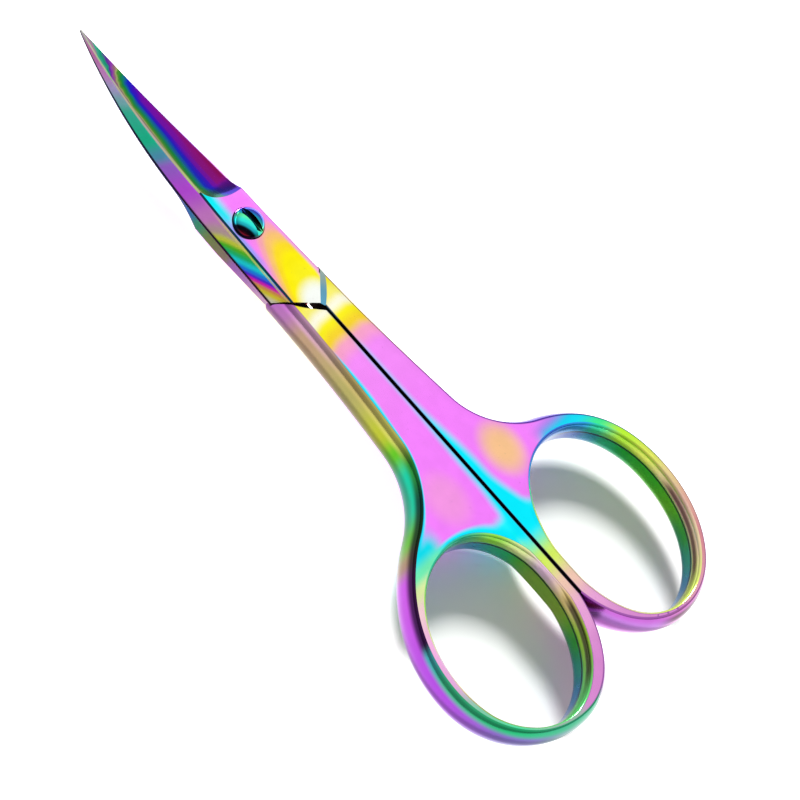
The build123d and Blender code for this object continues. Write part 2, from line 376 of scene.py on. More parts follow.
def blade(name, shape, materials):
    """Block and blade in one skin. Its rows bend to follow the plunge line."""
    def rear(s):
        return lambda v: BLOCK_END + s * (plunge_x(v) - BLOCK_END)

    def plunge(s):
        return lambda v: plunge_x(v) + s * (PLUNGE_END - plunge_x(v))

    def front(s):
        return lambda v: PLUNGE_END + s * (TIP_X - PLUNGE_END)

    stations = [(rear(k / 14), "block_top") for k in range(14)]
    stations += [(plunge((k / 26) ** 1.2), "bevel") for k in range(26)]
    stations += [(front(k / 70), "bevel") for k in range(71)]
    build = Build()
    rings, uvs, kinds = [], [], []
    for x_of, kind in stations:
        points, uv, zones = blade_ring(shape, x_of)
        rings.append(build.verts(points))
        uvs.append(uv)
        kinds.append([kind if zone == "block_top" else zone for zone in zones])
    for i in range(len(rings) - 1):
        build.skin(rings[i:i + 2], uvs[i:i + 2], kinds[i])
    build.face(rings[0], uvs[0], "cut")
    build.face(rings[-1], uvs[-1], "spine")
    return build.object(name, materials)


# -------- shank, web and loop

def quarter(a, b, corner, fullness):
    """Quarter of an oval from a to b, pulled towards the corner of its box."""
    p = tuple(a[i] + fullness * (corner[i] - a[i]) for i in range(2))
    q = tuple(b[i] + fullness * (corner[i] - b[i]) for i in range(2))
    return (a, p, q, b)


def oval(front, side, back, slit, fullness, steps):
    """Points of an oval through four points, as four quarters."""
    corners = ((front, side, (front[0], side[1])), (side, back, (back[0], side[1])),
               (back, slit, (back[0], slit[1])), (slit, front, (front[0], slit[1])))
    return [bezier(quarter(*ends, fullness), k / steps) for ends in corners for k in range(steps)]


def outer_outline(shape, inset):
    """Outside of shank, web and loop from the root round to the slit, and the slit's edge,
    with the swelling side pulled in. Near the slit the side stands almost straight."""
    (nx, ny), (wx, wy), (dx, dy) = shape["neck"], shape["web"], shape["web_way"]
    root = (-6.0, shape["root_y"] - inset)
    neck = (nx, ny - inset)
    web = (wx - dy * inset, wy + dx * inset)
    side = (shape["ring_side"][0], shape["ring_side"][1] - inset)
    back = (shape["ring_back"][0] + inset, shape["ring_back"][1])
    slit = (shape["ring_slit"][0], shape["ring_slit"][1] + SLIT_SWELL * inset)
    curves = [
        (root, (root[0] - 7, root[1]), (neck[0] + 7, neck[1] - 0.8), neck),
        (neck, (neck[0] - 4.0, neck[1] + 0.45), (web[0] - 3.2 * dx, web[1] - 3.2 * dy), web),
        (web, (web[0] + 6 * dx, web[1] + 6 * dy), (side[0] + 6.6, side[1]), side),
        quarter(side, back, (back[0], side[1]), 0.56),
        quarter(back, slit, (back[0], slit[1]), 0.56),
    ]
    meets_slit = bisect(lambda t: bezier(curves[-1], t)[1] > SLIT / 2, 0.3)
    points = []
    for curve, steps, end in zip(curves, (48, 28, 36, 48, 48), (1, 1, 1, 1, meets_slit)):
        points += [bezier(curve, end * k / steps) for k in range(steps)]
    swelling = len(points)
    meet = bezier(curves[-1], meets_slit)[0]
    count = 70
    points += [(meet + (root[0] - meet) * k / count, SLIT / 2) for k in range(count)]
    points += [(root[0], SLIT / 2 + (root[1] - SLIT / 2) * k / 6) for k in range(6)]
    return np.array(points), swelling


def normals_in(points):
    """Unit inward normals of a closed outline."""
    ahead = np.roll(points, -1, 0) - points
    ahead /= np.linalg.norm(ahead, axis=1)[:, None]
    mean = ahead + np.roll(ahead, 1, 0)
    mean /= np.linalg.norm(mean, axis=1)[:, None]
    x, y = points[:, 0], points[:, 1]
    area = np.sum(x * np.roll(y, -1) - y * np.roll(x, -1))
    turn = np.stack([-mean[:, 1], mean[:, 0]], 1)
    return turn if area > 0 else -turn


def distance_to(points, outline):
    """Distance from each point to a closed outline."""
    a, b = outline, np.roll(outline, -1, 0)
    best = np.full(len(points), 1e9)
    for p, q in zip(a, b):
        along = q - p
        t = np.clip((points - p) @ along / max(along @ along, 1e-12), 0, 1)
        best = np.minimum(best, np.linalg.norm(points - (p + t[:, None] * along), axis=1))
    return best


def inside(points, outline):
    """Which points lie inside a closed outline."""
    hit = np.zeros(len(points), bool)
    for (x0, y0), (x1, y1) in zip(outline, np.roll(outline, -1, 0)):
        crosses = (y0 > points[:, 1]) != (y1 > points[:, 1])
        x_at = (x1 - x0) * (points[:, 1] - y0) / (y1 - y0 + 1e-15) + x0
        hit ^= crosses & (points[:, 0] < x_at)
    return hit


def cap(build, outer, outer_verts, hole, hole_verts, sign):
    """Crowned flat face between the outer outline and the finger opening. Rows of points follow
    both borders, a line of points follows the middle of the narrow parts, and a grid fills the rest."""
    rows, spacing = [], []
    for outline in (outer, hole):
        inward = normals_in(outline) * (1 if outline is outer else -1)
        for depth in CAP_ROWS:
            rows.append((outline + depth * inward)[::2])
            spacing += [depth] * len(rows[-1])
    nearest = [outer[np.argmin(np.linalg.norm(outer - p, axis=1))] for p in hole]
    middle = (hole + np.array(nearest)) / 2
    rows.append(middle[np.linalg.norm(hole - middle, axis=1) < CAP_STEP])
    spacing += [0.02] * len(rows[-1])
    low, high = outer.min(0), outer.max(0)
    across, along = CAP_STEP, 0.87 * CAP_STEP
    grid = [(low[0] + across * (i + 0.5 * (j % 2)), low[1] + along * j)
            for j in range(int((high[1] - low[1]) / along) + 1)
            for i in range(int((high[0] - low[0]) / across) + 1)]
    spacing += [CAP_GRID] * len(grid)
    candidates = np.vstack(rows + [np.array(grid)])
    gap = np.minimum(distance_to(candidates, outer), distance_to(candidates, hole))
    keep = inside(candidates, outer) & ~inside(candidates, hole)
    keep &= gap > 0.93 * np.array(spacing)
    inner, inner_gap = candidates[keep], gap[keep]

    flat = np.vstack([outer, hole, inner])
    n, m = len(outer), len(hole)
    edges = [(i, (i + 1) % n) for i in range(n)] + [(n + i, n + (i + 1) % m) for i in range(m)]
    coords, _, faces, origin, _, _ = delaunay_2d_cdt(
        [Vector(p) for p in flat], edges, [], 0, 1e-7)
    drop = CROWN * np.maximum(0, 1 - inner_gap / CROWN_W) ** 2
    verts = list(outer_verts) + list(hole_verts)
    gaps = [0.0] * (n + m) + list(inner_gap)
    verts += build.verts([(p[0], p[1], sign * (HALF_T - d)) for p, d in zip(inner, drop)])
    table = [source[0] for source in origin]
    centres = np.array([np.mean([coords[i] for i in f], 0) for f in faces])
    good = inside(centres, outer) & ~inside(centres, hole)
    for face, ok in zip(faces, good):
        if ok:
            ids = [table[i] for i in face]
            build.face([verts[i] for i in ids], [(gaps[i], 0) for i in ids], "flat")


def wall_levels():
    """Heights of a wall's rings from top to bottom, with the rim's rounding at each."""
    edge = HALF_T - CROWN
    turn = [(ROUND * (1 - sin(a)), edge - ROUND * (1 - cos(a)))
            for a in [0, pi / 8, pi / 4, 3 * pi / 8, pi / 2]]
    levels = turn + [(0.0, (edge - ROUND) * f) for f in (0.92, 0.82, 0.7, 0.55, 0.4, 0.2, 0.0)]
    return levels + [(r, -z) for r, z in reversed(levels[:-1])]


def shank_and_loop(name, shape, materials):
    """Shank, web and finger loop with swelling sides and crowned faces."""
    hole = np.array(oval(*shape["hole"], 0.57, 40))
    hole_out = -normals_in(hole)
    radius = (HALF_T ** 2 + SIDE_BULGE ** 2) / (2 * SIDE_BULGE)
    room = distance_to(hole, outer_outline(shape, 0)[0]) - SIDE_BULGE - 2 * ROUND - 0.1
    widest = np.clip(room, 0.05, LOOP_FLARE)
    build = Build()
    outer_rings, outer_uv, hole_rings, hole_uv = [], [], [], []
    tops = []
    for soft, z in wall_levels():
        inset = radius - sqrt(radius ** 2 - z * z)
        outer, swelling = outer_outline(shape, inset)
        line = outer + soft * normals_in(outer)
        flare = widest * abs(z / HALF_T) ** 5
        rim = hole + hole_out * (flare + soft)[:, None]
        tops.append((line, rim))
        outer_rings.append(build.verts([(x, y, z) for x, y in line]))
        hole_rings.append(build.verts([(x, y, z) for x, y in rim]))
        outer_uv.append([(k / len(outer), z) for k in range(len(outer))])
        hole_uv.append([(k / len(hole), z) for k in range(len(hole))])
    on_slit = ["side"] * swelling + ["cut"] * (len(outer) - swelling)
    build.skin(outer_rings, outer_uv, on_slit)
    build.skin(hole_rings, hole_uv, ["loop_wall"] * len(hole))
    cap(build, tops[0][0], outer_rings[0], tops[0][1], hole_rings[0], 1)
    cap(build, tops[-1][0], outer_rings[-1], tops[-1][1], hole_rings[-1], -1)
    build.bm.transform(Matrix.Scale(-1, 4, (0, 1, 0)))
    return build.object(name, materials)


# -------- cutters

def v_frame():
    """Frame at the V's point: x runs back towards the handle, y up, z along the closed arm."""
    up = Vector((0, 0, 1))
    turn = Matrix((V_BACK, up, V_BACK.cross(up))).transposed().to_4x4()
    return Matrix.Translation((V_X, 0, 0)) @ turn


def ahead_of_arm(materials):
    """Cuts the handle back to the V's closed arm and leaves a sloping facet above the block."""
    step = HALF_T - BLOCK_T
    facet_end = FACET_START + FACET_RUN
    outline = [(-12, FACE_GAP / 2), (0, FACE_GAP / 2), (0, BLOCK_T), (FACET_START, BLOCK_T),
               (facet_end, HALF_T), (facet_end + 1.1 * step, HALF_T + step), (-12, HALF_T + step)]
    zones = ["cut", "cut", "cut", "facet", "facet", "cut", "cut"]
    return prism("ahead_of_arm", outline, -14, 14, zones, materials, v_frame())


def tongue_space(materials):
    """Room under the handle for the other half's block, with a curved end wall."""
    start, end = (-12.9, 0.4), (-6.0, -4.3)
    curve = (start, (-11.0, -1.7), (-10.2, -3.6), end)
    outline = [bezier(curve, k / 30) for k in range(31)]
    outline += [(end[0], end[1] - 0.5), (6, end[1] - 0.5), (6, start[1])]
    zones = ["cut"] * len(outline)
    return prism("tongue_space", outline, -4, FACE_GAP / 2 + 0.01, zones, materials)


def behind_v(materials):
    """Trims the block to the V's open arm, undercut towards the inner face."""
    y, out, back = -SLIT / 2, 6, -16
    rings = []
    for z, forward in ((-0.1, 0.8), (BLOCK_T + 0.5, -0.25)):
        x = V_X + forward
        rings.append([(x, y, z), (x + OPEN_ARM * out, out, z), (back, out, z), (back, y, z)])
    return cutter("behind_v", rings, ["cut"] * 4, materials)


def forging(name, shape, materials):
    """One half, drawn as the one that lies on top with its handle on the -Y side."""
    body = blade(name, shape, materials)
    boolean(body, behind_v(materials), "DIFFERENCE")
    handle = shank_and_loop(name + "_handle", shape, materials)
    boolean(handle, ahead_of_arm(materials), "DIFFERENCE")
    boolean(handle, tongue_space(materials), "DIFFERENCE")
    boolean(body, handle, "UNION")
    return body


def finish_surface(obj):
    """Smooth shading that breaks only at real edges, and true flats."""
    mesh = obj.data
    mesh.polygons.foreach_set("use_smooth", [True] * len(mesh.polygons))
    mesh.set_sharp_from_angle(angle=SHARP)
    modifier = obj.modifiers.new("flats", "WEIGHTED_NORMAL")
    modifier.mode = "FACE_AREA"
    modifier.keep_sharp = True


def in_place(obj, body, node):
    """Scale to metres, move to the pivot, and let the piece stand for its CAD node."""
    obj.data.transform(Matrix.Translation(PIVOT) @ Matrix.Scale(MM, 4))
    obj.data.update()
    finish_surface(obj)
    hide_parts(node)
    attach(obj, body)


def pieces(upper_materials, lower_materials):
    """The two forgings, bored for the screw."""
    upper = forging("upper_forging", UPPER, upper_materials)
    seat_z = BLOCK_T - HEAD_SINK - BORE_GAP
    shank, head = SCREW_R + BORE_GAP, HEAD_R + HEAD_GAP
    bore = lathe("bore", [(0, -1), (shank, -1), (shank, seat_z), (head, seat_z), (head, 4), (0, 4)],
                 ["cut"] * 5, upper_materials)
    boolean(upper, bore, "DIFFERENCE")
    lower = forging("lower_forging", LOWER, lower_materials)
    lower.data.transform(Matrix.Rotation(pi, 4, "X"))
    peen = 1.1 * SCREW_R
    thin = THIN * SCREW_R
    sink = lathe("sink", [(0, -3), (peen, -3), (peen, -BLOCK_T + 0.02), (thin, -BLOCK_T + 0.4),
                          (thin, 1), (0, 1)], ["cut"] * 5, lower_materials)
    boolean(lower, sink, "DIFFERENCE")
    in_place(upper, "upper_scissor_half", "upper_half")
    in_place(lower, "lower_scissor_half", "lower_half")


# -------- the rainbow film

def linear(code):
    """Linear colour from a six-digit sRGB code."""
    parts = [int(code[i:i + 2], 16) / 255 for i in (0, 2, 4)]
    return (*[p / 12.92 if p <= 0.04045 else ((p + 0.055) / 1.055) ** 2.4 for p in parts], 1)


class Film:
    """A polished metal material whose film colour is worked out from place and slope.
    x runs along the scissors, t away from the slit on the handle's side, z up, in millimetres
    from the pivot; u and v are the film coordinates stored on the mesh. side is the handle's
    side in Y, -1 for the upper half and 1 for the lower."""

    def __init__(self, name, side):
        self.side = side
        self.material = bpy.data.materials.new(name)
        self.material.use_nodes = True
        self.tree = self.material.node_tree
        self.shader = self.tree.nodes["Principled BSDF"]
        coords = self.node("ShaderNodeTexCoord")
        centred = self.node("ShaderNodeVectorMath", operation="SUBTRACT")
        self.link(coords.outputs["Object"], centred.inputs[0])
        centred.inputs[1].default_value = PIVOT
        scaled = self.node("ShaderNodeVectorMath", operation="SCALE")
        self.link(centred.outputs[0], scaled.inputs[0])
        scaled.inputs["Scale"].default_value = 1 / MM
        self.place = scaled.outputs[0]
        self.x, y, self.z = self.split(self.place)
        self.t = self.math("MULTIPLY", y, side)
        self.nx, ny, self.nz = self.split(coords.outputs["Normal"])
        self.nt = self.math("MULTIPLY", ny, side)
        film = self.node("ShaderNodeUVMap", uv_map="film")
        self.u, self.v, _ = self.split(film.outputs[0])

    def node(self, kind, **settings):
        node = self.tree.nodes.new(kind)
        for key, value in settings.items():
            setattr(node, key, value)
        return node

    def link(self, output, socket):
        if isinstance(output, (int, float, tuple)):
            socket.default_value = output
        else:
            self.tree.links.new(output, socket)

    def split(self, vector):
        node = self.node("ShaderNodeSeparateXYZ")
        self.link(vector, node.inputs[0])
        return node.outputs[0], node.outputs[1], node.outputs[2]

    def math(self, operation, *values):
        node = self.node("ShaderNodeMath", operation=operation)
        for value, socket in zip(values, node.inputs):
            self.link(value, socket)
        return node.outputs[0]

    def plus(self, a, b):
        return self.math("ADD", a, b)

    def times(self, a, b):
        return self.math("MULTIPLY", a, b)

    def step(self, value, start, end):
        """Smooth step from 0 at start to 1 at end, in either direction."""
        node = self.node("ShaderNodeMapRange", interpolation_type="SMOOTHSTEP")
        flip = -1 if end < start else 1
        self.link(self.times(value, flip), node.inputs["Value"])
        node.inputs["From Min"].default_value = start * flip
        node.inputs["From Max"].default_value = end * flip
        return node.outputs[0]

    def band(self, value, low, high, soft):
        """1 between low and high, with soft borders."""
        return self.times(self.step(value, low - soft, low + soft),
                          self.step(value, high + soft, high - soft))

    def off(self, value, middle, reach):
        """Square of how far value is from the middle, counted in reaches."""
        away = self.times(self.plus(value, -middle), 1 / reach)
        return self.times(away, away)

    def ramp(self, value, stops):
        """Colours or numbers at positions along value, in value's own units."""
        low, high = stops[0][0], stops[-1][0]
        scale = self.node("ShaderNodeMapRange")
        self.link(value, scale.inputs["Value"])
        scale.inputs["From Min"].default_value = low
        scale.inputs["From Max"].default_value = high
        node = self.node("ShaderNodeValToRGB")
        node.color_ramp.interpolation = "EASE"
        elements = node.color_ramp.elements
        while len(elements) < len(stops):
            elements.new(0.5)
        for element, (place, colour) in zip(elements, stops):
            element.position = (place - low) / (high - low)
            element.color = linear(colour) if isinstance(colour, str) else (colour,) * 3 + (1,)
        self.link(scale.outputs[0], node.inputs[0])
        return node.outputs[0]

    def mix(self, share, a, b):
        node = self.node("ShaderNodeMix", data_type="RGBA")
        self.link(share, node.inputs["Factor"])
        for value, socket in ((a, node.inputs[6]), (b, node.inputs[7])):
            self.link(linear(value) if isinstance(value, str) else value, socket)
        return node.outputs[2]

    def noise(self, scale, detail=2.0, stretch=(1, 1, 1)):
        """Noise from 0 to 1, scale per millimetre."""
        squeeze = self.node("ShaderNodeVectorMath", operation="MULTIPLY")
        self.link(self.place, squeeze.inputs[0])
        squeeze.inputs[1].default_value = stretch
        node = self.node("ShaderNodeTexNoise")
        self.link(squeeze.outputs[0], node.inputs["Vector"])
        node.inputs["Scale"].default_value = scale
        node.inputs["Detail"].default_value = detail
        return node.outputs["Fac"]

    def finish(self, colour, roughness=0.10, metallic=1.0):
        """Metal with faint cloudiness, polishing lines and specks over the film colour."""
        cloud = self.noise(0.55, 4.0)
        shade = self.ramp(cloud, [(0.3, 0.95), (0.7, 1.0)])
        worn = self.node("ShaderNodeMix", data_type="RGBA", blend_type="MULTIPLY")
        worn.inputs["Factor"].default_value = 1.0
        self.link(colour, worn.inputs[6])
        self.link(shade, worn.inputs[7])
        specks = self.step(self.noise(5.5, 1.0), 0.745, 0.79)
        dusty = self.mix(self.times(specks, 0.35), worn.outputs[2], "5a3a62")
        self.link(dusty, self.shader.inputs["Base Color"])
        self.shader.inputs["Metallic"].default_value = metallic
        lines = self.noise(9.0, 3.0, (0.06, 1, 1))
        rough = self.plus(self.times(lines, 0.07), self.times(cloud, 0.06))
        self.link(self.plus(rough, roughness - 0.06), self.shader.inputs["Roughness"])
        bump = self.node("ShaderNodeBump")
        bump.inputs["Strength"].default_value = 0.05
        bump.inputs["Distance"].default_value = 0.02 * MM
        self.link(self.plus(lines, self.times(cloud, 0.6)), bump.inputs["Height"])
        self.link(bump.outputs[0], self.shader.inputs["Normal"])
        return self.material


# Film colours of the hollow bevel, by how thick the film grows from its edge to the ridge.
BEVEL_FILM = [(0, "90065c"), (0.10, "900a80"), (0.22, "7a08ac"), (0.34, "3c0cc8"), (0.42, "1622cc"),
              (0.49, "1060a8"), (0.55, "0f8470"), (0.60, "109040"), (0.68, "509a30"), (0.74, "a8b070"),
              (0.80, "9a6a80"), (0.88, "9a3cb4"), (0.94, "6030a0"), (1, "10a078"), (1.06, "40b090"),
              (1.12, "b080a0"), (1.2, "a8a0b0")]


WALL_SHADE = 0.42  # darkens walls that the white floor shines on


def bevel(film):
    """Ground hollow: dark magenta at the cutting edge to blue, green and pale at the ridge. The
    same colours pass along the blade near its tip, and the slope at the plunge line is darker."""
    across = film.ramp(film.v, [
        (0.0, 0.0), (0.30, 0.10), (0.46, 0.22), (0.58, 0.35), (0.72, 0.43), (0.82, 0.52),
        (0.92, 0.60), (0.97, 0.66), (1.0, 0.72)
    ])
    along = film.ramp(film.x, [
        (7.0, 0.0), (14.0, 0.13), (17.0, 0.17), (18.5, 0.26), (19.6, 0.38), (20.3, 0.50),
        (21.0, 0.62), (21.7, 0.76), (22.4, 0.88), (23.4, 0.95), (24.3, 1.02), (25.3, 1.08),
        (27.0, 1.2)
    ])
    fade = film.ramp(film.x, [(15.0, 1.0), (18.0, 0.85), (21.0, 0.45), (24.0, 0.15)])
    slope = film.times(film.math("MAXIMUM", film.nx, 0.0), 0.42)
    phase = film.plus(film.plus(film.times(across, fade), along), slope)
    colour = film.ramp(phase, BEVEL_FILM)
    start = film.step(film.nx, 0.08, 0.35)
    colour = film.mix(film.times(start, 0.6), colour, "180848")
    crest = film.step(film.v, 0.955, 0.99)
    colour = film.mix(film.times(crest, 0.55), colour, "c0d490")
    return film.finish(colour, 0.13)


def block_top(film):
    """Polished flat over the screw: pink, then orange, yellow and near white at the V."""
    way = film.plus(film.x, film.times(film.off(film.v, 0.34, 1.0), 14.0))
    main = film.ramp(way, [
        (-12.5, "f6f4c8"), (-9.8, "f6f280"), (-8, "f8ee20"), (-5.4, "f8ea10"), (-4, "f6d828"),
        (-2.6, "f4c070"), (-1.2, "f4a4b0"), (0.4, "f488e8"), (2.4, "f480fa"), (6.5, "f08cf8")
    ])
    # painted highlight: a near-white patch on the flat by the V
    painted_highlight_spot = film.plus(film.off(film.x, -11.8, 1 / 0.34), film.off(film.v, 0.48, 1 / 2.3))
    main = film.mix(film.step(painted_highlight_spot, 1.7, 0.35), main, "f2f6f0")
    near_ridge = film.times(film.step(film.v, 0.58, 0.90), film.band(film.x, 1.0, 6.5, 1.0))
    colour = film.mix(near_ridge, main, "10ecf4")
    blue = film.times(film.step(film.v, 0.84, 0.96), film.band(film.x, -4.5, 2.0, 2.0))
    colour = film.mix(film.times(blue, 0.8), colour, "7aa0f4")
    edge = film.step(film.v, 0.12, 0.02)
    colour = film.mix(film.times(edge, 0.8), colour, "ee90f4")
    rim = film.step(film.v, 0.985, 0.996)
    colour = film.mix(rim, colour, "103848")
    return film.finish(colour)


def spine(film):
    """Back of the blade: bands along it, skewed on the block, between dark lines; the one at
    the foot, where the halves meet, is painted shade.
    """
    skew = film.ramp(film.x, [(-1.0, 1.0), (4.0, 0.2)])
    way = film.plus(film.x, film.times(film.times(film.plus(film.v, -1.5), -4.4), skew))
    colour = film.ramp(way, [
        (-9.5, "e8e4c8"), (-8, "f0e030"), (-7.1, "e8a050"), (-6.3, "f010c0"), (-5.5, "5020e8"),
        (-4.7, "1088f8"), (-3.6, "08e8f0"), (-2.3, "10c870"), (-1.3, "50c820"), (-0.1, "d8e040"),
        (1.4, "c8a8a8"), (3.2, "e088dc"), (7, "cc50f0"), (10, "a868e0"), (11.5, "50a0c0"),
        (13.5, "08c898"), (17, "30c0a0"), (18.6, "80b8c0"), (20, "b0a8d8"), (22, "d088cc"),
        (24.5, "c070a8"), (27, "a8a0b0")
    ])
    pale = film.times(film.band(film.v, 1.10, 1.20, 0.03), film.step(film.x, 4.0, 1.0))
    colour = film.mix(film.times(pale, 0.7), colour, "e8e480")
    # painted shade along the spine's foot, where the two halves meet
    foot = film.step(film.v, 1.88, 1.97)
    crest = film.band(film.v, 1.01, 1.07, 0.02)
    colour = film.mix(foot, colour, "0a0a22")
    colour = film.mix(film.times(crest, 0.9), colour, "101830")
    return film.finish(colour, 0.10, 0.6)


def edge_side(film):
    """Narrow wall under the block's top on the cutting-edge side."""
    upper = [(-12, "f0d060"), (-8, "f0a8d0"), (-4, "e89af0"), (3, "dc8cf4"), (6, "8040d0"),
             (12, "7020a0"), (27, "906090")]
    lower = [(-12, "a860b8"), (-8.5, "b048d0"), (-2.5, "a050c8"), (-1, "8a7a60"), (1.5, "7a9040"),
             (3.4, "20a070"), (5, "1878c0"), (7, "6a80b8"), (14, "8088a8"), (27, "9090a8")]
    colour = film.ramp(film.x, upper if film.side < 0 else lower)
    return film.finish(film.mix(WALL_SHADE, colour, "0c0818"), 0.14)


def inner_face(film):
    """Flat inner face: finer ground lines, seen when the scissors are open."""
    colour = film.ramp(film.x, [
        (-14, "f0c890"), (-6, "f4a8e0"), (4, "e890f4"), (12, "a878e8"), (18, "58a8d8"),
        (23, "50c0a0"), (27, "b0c070")
    ])
    return film.finish(colour, 0.22)


def flat(film):
    """Tops and undersides of shank, web and loop: pink, with cyan beside the slit and the rims,
    a golden patch on the upper web, and banded colours round each loop."""
    # the near-white stop at x -12.4 is a painted highlight, like the one on the block's top
    along = [(-64, "d080cc"), (-58, "d488cc"), (-54, "e4a0d4"), (-50.5, "ecc4b0"),
             (-47.5, "d0ea60"), (-44.8, "90f0a0"), (-43.4, "08f0f4"), (-41.8, "20f0fc"),
             (-40.2, "ee7cf6"), (-30, "f080f8"), (-18.5, "f08af4"), (-16.5, "f4a0c8"),
             (-15, "f2d030"), (-13.6, "f6ec20"), (-12.4, "fbf8e0"), (-11.2, "f4ec70"),
             (-9.6, "f4e820"), (-8, "f2e230")]
    bend = 0.45 if film.side < 0 else 0.30
    way = film.plus(film.x, film.times(film.math("MAXIMUM", film.plus(film.t, -2.0), 0.0), bend))
    main = film.ramp(way, along)
    spread = film.plus(film.off(film.t, 4.9, 1.0), film.off(film.x, -35.6, 4 / 3))
    gold = film.step(spread, 10.0, 0.2)
    main = film.mix(film.times(gold, 0.9 if film.side < 0 else 0.25), main, "f2c478")
    reach = film.ramp(film.x, [(-43.0, 2.6), (-36.0, 1.2), (-24.0, 0.15), (-15.0, 0.0)])
    wedge = film.step(film.plus(film.t, film.times(reach, -1.0 if film.side < 0 else -0.45)), 0.8, -0.5)
    width = film.ramp(film.x, [
        (-44.0, 1.0), (-41.0, 0.65), (-38.0, 0.25), (-33.0, 0.10), (-28.0, 0.14), (-22.0, 0.28),
        (-16.0, 0.12)
    ])
    near = film.math("DIVIDE", film.u, film.times(width, 2.2))
    rim = film.times(film.step(near, 1.0, 0.2), 0.0 if film.side < 0 else film.step(film.t, 1.0, 2.0))
    rim = film.math("MAXIMUM", rim, wedge)
    rim = film.times(rim, film.band(film.x, -45.0, -17.0, 1.5))
    main = film.mix(rim, main, "08e8fa")
    line = film.step(film.u, 0.10, 0.02)
    main = film.mix(film.times(line, 0.55), main, "401878")
    ring_top = film.times(film.step(film.x, -35.5, -38.0), film.step(film.t, 8.3, 10.6))
    if film.side < 0:
        ring = [(-62, "e0a0b8"), (-57, "d08890"), (-53, "dca898"), (-50, "e0c890"), (-47, "d8e060"),
                (-43, "b8f038"), (-40.5, "40e890"), (-38.5, "18d8f0"), (-36.5, "3088e0")]
    else:
        ring = [(-62, "a0b0a8"), (-58, "58d8a0"), (-54, "80c8a8"), (-50, "e0a8d8"), (-46, "f0b0e0"),
                (-42.5, "f0c8d0"), (-40.8, "d8e8a0"), (-39.5, "70e8b0"), (-38, "10d8e8"),
                (-36.5, "10d8f8")]
    main = film.mix(ring_top, main, film.ramp(film.x, ring))
    return film.finish(main)


def side_wall(film):
    """Swelling outer side of shank, web and loop: a body colour, a painted highlight and a
    painted dark reflection along the crest under the top's edge, and a greyer skirt."""
    body = film.ramp(film.x, [
        (-63, "48a888"), (-60, "8070c0"), (-50, "b450e0"), (-39.4, "c858e0"),
        (-37.8, "a88870"), (-36.2, "60b830"), (-34, "10c098"), (-31.2, "10c8a0"),
        (-28.6, "60c020"), (-26, "b8c030"), (-21, "b0a860"), (-13, "b89878"),
        (-9.5, "b070b0"), (-6, "b048d0")
    ])
    crest = film.step(film.z, 0.9, 1.7)
    # painted highlight along the crest under the top's edge, with a painted dark reflection there from
    # x -45 to -34
    glow = film.ramp(film.x, [
        (-63, "40c090"), (-58, "10d078"), (-50, "18d080"), (-46.5, "20b8b0"),
        (-45, "101020"), (-38, "0a0a14"), (-34, "102018"), (-30.5, "309020"),
        (-27, "e4e070"), (-20, "d8c078"), (-12, "e8b0d8"), (-8, "d060e0")
    ])
    low = film.step(film.z, -0.9, -2.0)
    skirt = film.ramp(film.x, [
        (-63, "609c90"), (-50, "6c80a8"), (-40, "5a68a8"), (-30, "207080"),
        (-20, "8a9060"), (-8, "7860a0")
    ])
    colour = film.mix(film.times(crest, 0.9), body, glow)
    colour = film.mix(film.times(low, 0.9), colour, skirt)
    if film.side < 0:
        far = film.ramp(film.x, [
            (-63, "d878d0"), (-58, "d890c0"), (-54, "d89898"), (-50, "d0a890"),
            (-46, "40a050"), (-42, "1080a8"), (-38, "2050b8"), (-36, "7040d0"),
            (-30, "b050d8"), (-12, "e0c060"), (-8, "e8a8d0")
        ])
        streak = film.times(film.band(film.z, 0.9, 1.75, 0.25), film.step(film.x, -50.0, -53.0))
        far = film.mix(film.times(streak, 0.85), far, "4a0818")
        colour = film.mix(film.step(film.z, -1.4, -0.2), skirt, far)
    slit_side = film.times(film.step(film.t, 8.0, 5.0), film.step(film.x, -46.0, -49.0))
    rose = film.mix(film.band(film.z, 0.2, 1.5, 0.4), "d070dc", "5a0c2a" if film.side > 0 else "c880e0")
    colour = film.mix(slit_side, colour, rose)
    return film.finish(film.mix(WALL_SHADE, colour, "0c0818"), 0.13)


